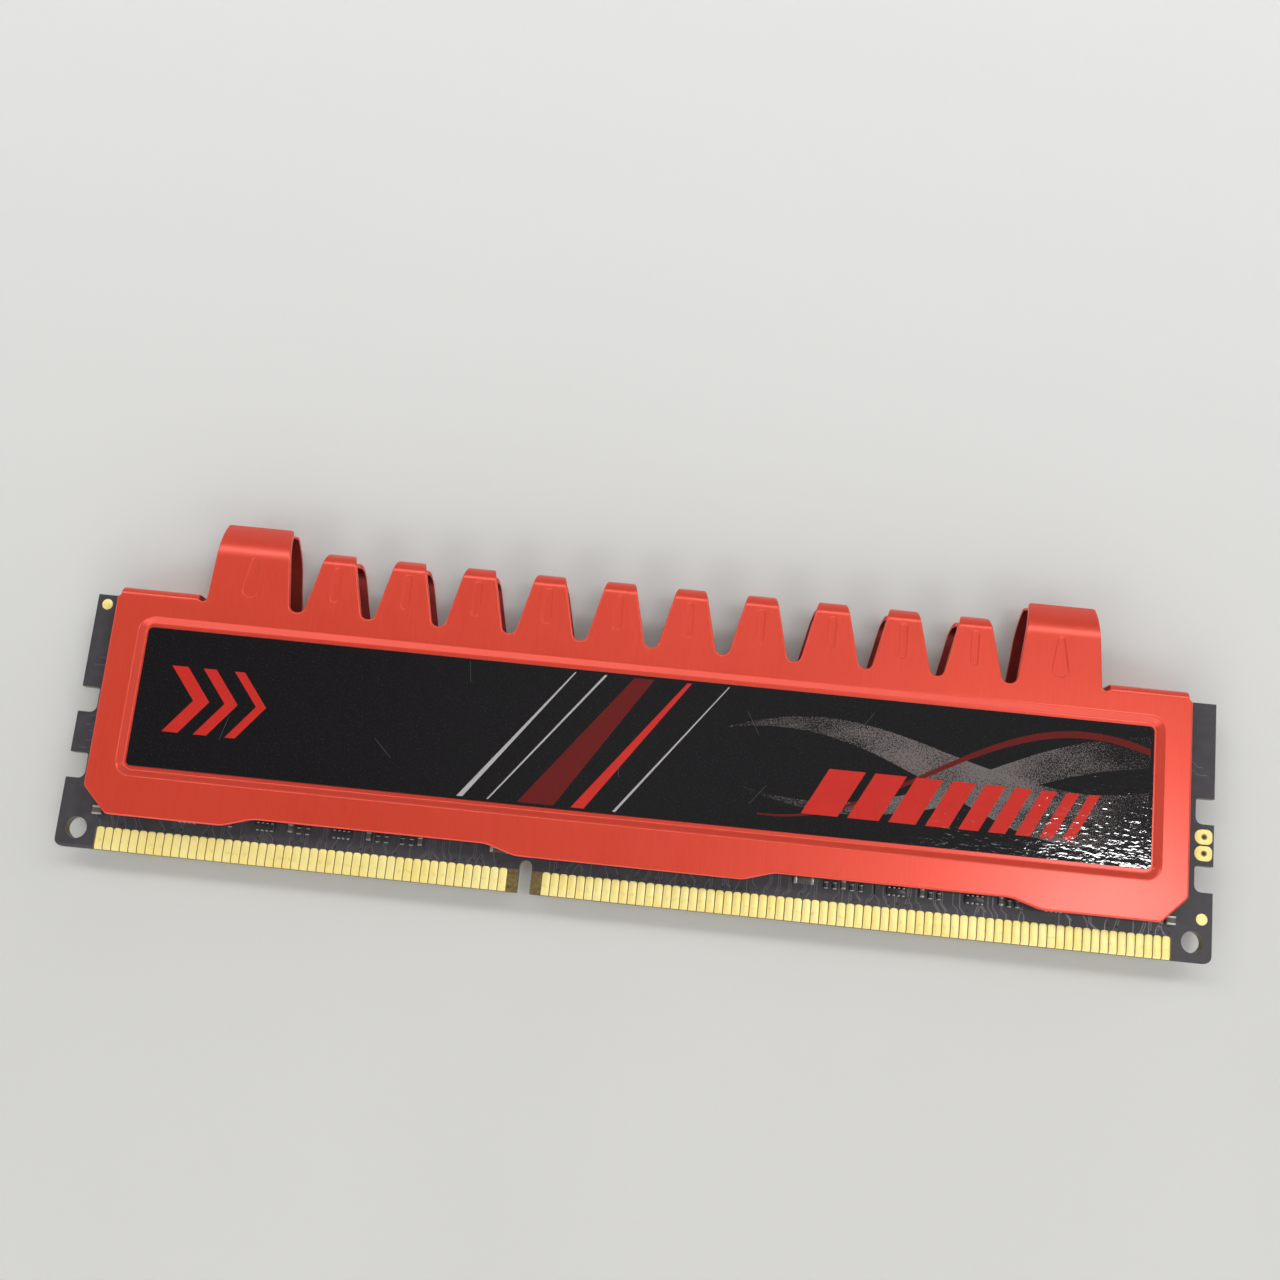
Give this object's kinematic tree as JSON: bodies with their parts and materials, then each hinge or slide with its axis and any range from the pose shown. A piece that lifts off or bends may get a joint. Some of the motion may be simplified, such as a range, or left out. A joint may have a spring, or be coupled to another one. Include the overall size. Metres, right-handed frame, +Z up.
{
  "type": "memory module with heat spreaders",
  "caption": "Desktop memory module: a notched circuit board with gold edge contacts between two red finned heat spreaders, each with a glossy black label in its sunk panel.",
  "frame": {"origin": "centre of the module's footprint as it lies flat, on the outer frame face of the back heat spreader", "axes": "+X along the module with the short contact row on the -X side, +Y from the contact edge towards the fins, +Z up out of the front label"},
  "size_m": [0.1334, 0.04, 0.0067],
  "materials": {
    "red_anodised_sheet": "brushed, red anodised",
    "solder_mask": "black solder mask on glass-fibre laminate",
    "gold_plating": "satin gold plating",
    "label_film": "glossy black film",
    "chip_mould": "matte black mould",
    "thermal_tape": "soft grey thermal tape",
    "resistor_ceramic": "black glaze with tinned ends",
    "capacitor_ceramic": "brown ceramic with tinned ends"
  },
  "bodies": {
    "root": {"circuit_board": "solder_mask", "configuration_memory": "chip_mould", "contacts_back_left": "gold_plating", "contacts_back_right": "gold_plating", "contacts_front_left": "gold_plating", "contacts_front_right": "gold_plating", "end_capacitor_left": "capacitor_ceramic", "end_capacitor_right": "capacitor_ceramic", "heat_spreader_back": "red_anodised_sheet", "heat_spreader_front": "red_anodised_sheet", "label_back": "label_film", "label_front": "label_film", "memory_chip_back_1": "chip_mould", "memory_chip_back_2": "chip_mould", "memory_chip_back_3": "chip_mould", "memory_chip_back_4": "chip_mould", "memory_chip_back_5": "chip_mould", "memory_chip_back_6": "chip_mould", "memory_chip_back_7": "chip_mould", "memory_chip_back_8": "chip_mould", "memory_chip_front_1": "chip_mould", "memory_chip_front_2": "chip_mould", "memory_chip_front_3": "chip_mould", "memory_chip_front_4": "chip_mould", "memory_chip_front_5": "chip_mould", "memory_chip_front_6": "chip_mould", "memory_chip_front_7": "chip_mould", "memory_chip_front_8": "chip_mould", "thermal_pad_back": "thermal_tape", "thermal_pad_front": "thermal_tape", "wide_capacitor_1": "capacitor_ceramic", "wide_capacitor_2": "capacitor_ceramic", "capacitor_1": "capacitor_ceramic", "capacitor_2": "capacitor_ceramic", "capacitor_3": "capacitor_ceramic", "capacitor_4": "capacitor_ceramic", "capacitor_5": "capacitor_ceramic", "capacitor_6": "capacitor_ceramic", "resistor_1": "resistor_ceramic", "resistor_10": "resistor_ceramic", "resistor_11": "resistor_ceramic", "resistor_12": "resistor_ceramic", "resistor_13": "resistor_ceramic", "resistor_14": "resistor_ceramic", "resistor_15": "resistor_ceramic", "resistor_2": "resistor_ceramic", "resistor_3": "resistor_ceramic", "resistor_4": "resistor_ceramic", "resistor_5": "resistor_ceramic", "resistor_6": "resistor_ceramic", "resistor_7": "resistor_ceramic", "resistor_8": "resistor_ceramic", "resistor_9": "resistor_ceramic", "resistor_array_1": "resistor_ceramic", "resistor_array_2": "resistor_ceramic", "resistor_array_3": "resistor_ceramic", "resistor_array_4": "resistor_ceramic", "resistor_array_5": "resistor_ceramic", "resistor_array_6": "resistor_ceramic"}
  },
  "joints": []
}
